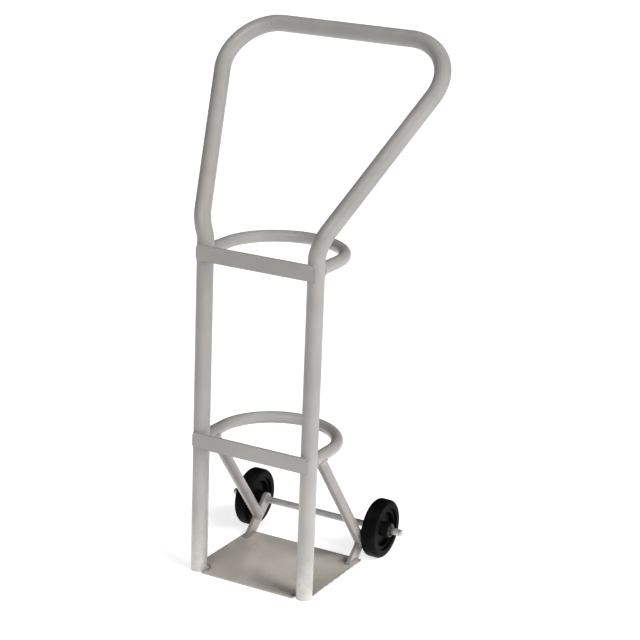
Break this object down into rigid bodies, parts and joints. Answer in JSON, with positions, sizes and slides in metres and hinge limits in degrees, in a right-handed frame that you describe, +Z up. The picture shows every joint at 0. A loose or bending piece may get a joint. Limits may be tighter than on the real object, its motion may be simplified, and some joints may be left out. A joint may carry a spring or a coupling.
{
  "type": "gas cylinder trolley",
  "caption": "Gas cylinder trolley: a bent tube frame that leans back into a flared handle, rings that hold the cylinder, a flat base plate and braced wheels on a rod axle.",
  "frame": {"origin": "centre of the base plate's underside, on the floor", "axes": "+X across to the trolley's right in the picture, +Y to the rear where the wheels are, +Z up"},
  "size_m": [0.5828, 0.397, 1.239],
  "materials": {
    "frame_paint": "light warm grey enamel, worn at the edges",
    "plate_paint": "light warm grey enamel, scuffed",
    "zinc_steel": "dull zinc plate",
    "tyre_rubber": "solid black rubber",
    "hub_plastic": "black moulded plastic",
    "bush_plastic": "natural nylon"
  },
  "bodies": {
    "frame": {"frame_tube": "frame_paint", "upper_crossbar": "frame_paint", "lower_crossbar": "frame_paint", "upper_hoop": "frame_paint", "lower_hoop": "frame_paint", "base_plate": "plate_paint", "left_brace": "frame_paint", "right_brace": "frame_paint", "left_axle_leg": "frame_paint", "right_axle_leg": "frame_paint", "axle": "zinc_steel", "left_inner_washer": "zinc_steel", "right_inner_washer": "zinc_steel", "left_outer_washer": "zinc_steel", "right_outer_washer": "zinc_steel", "left_split_pin": "zinc_steel", "right_split_pin": "zinc_steel"},
    "left_wheel": {"left_tyre": "tyre_rubber", "left_wheel_hub": "hub_plastic", "left_hub_bush": "bush_plastic"},
    "right_wheel": {"right_tyre": "tyre_rubber", "right_wheel_hub": "hub_plastic", "right_hub_bush": "bush_plastic"}
  },
  "joints": [
    {"name": "left_wheel_spin", "type": "hinge", "parent": "frame", "child": "left_wheel", "pos_m": [-0.173, 0.1845, 0.071], "axis": [1, 0, 0], "continuous": true},
    {"name": "right_wheel_spin", "type": "hinge", "parent": "frame", "child": "right_wheel", "pos_m": [0.173, 0.1845, 0.071], "axis": [1, 0, 0], "continuous": true}
  ]
}
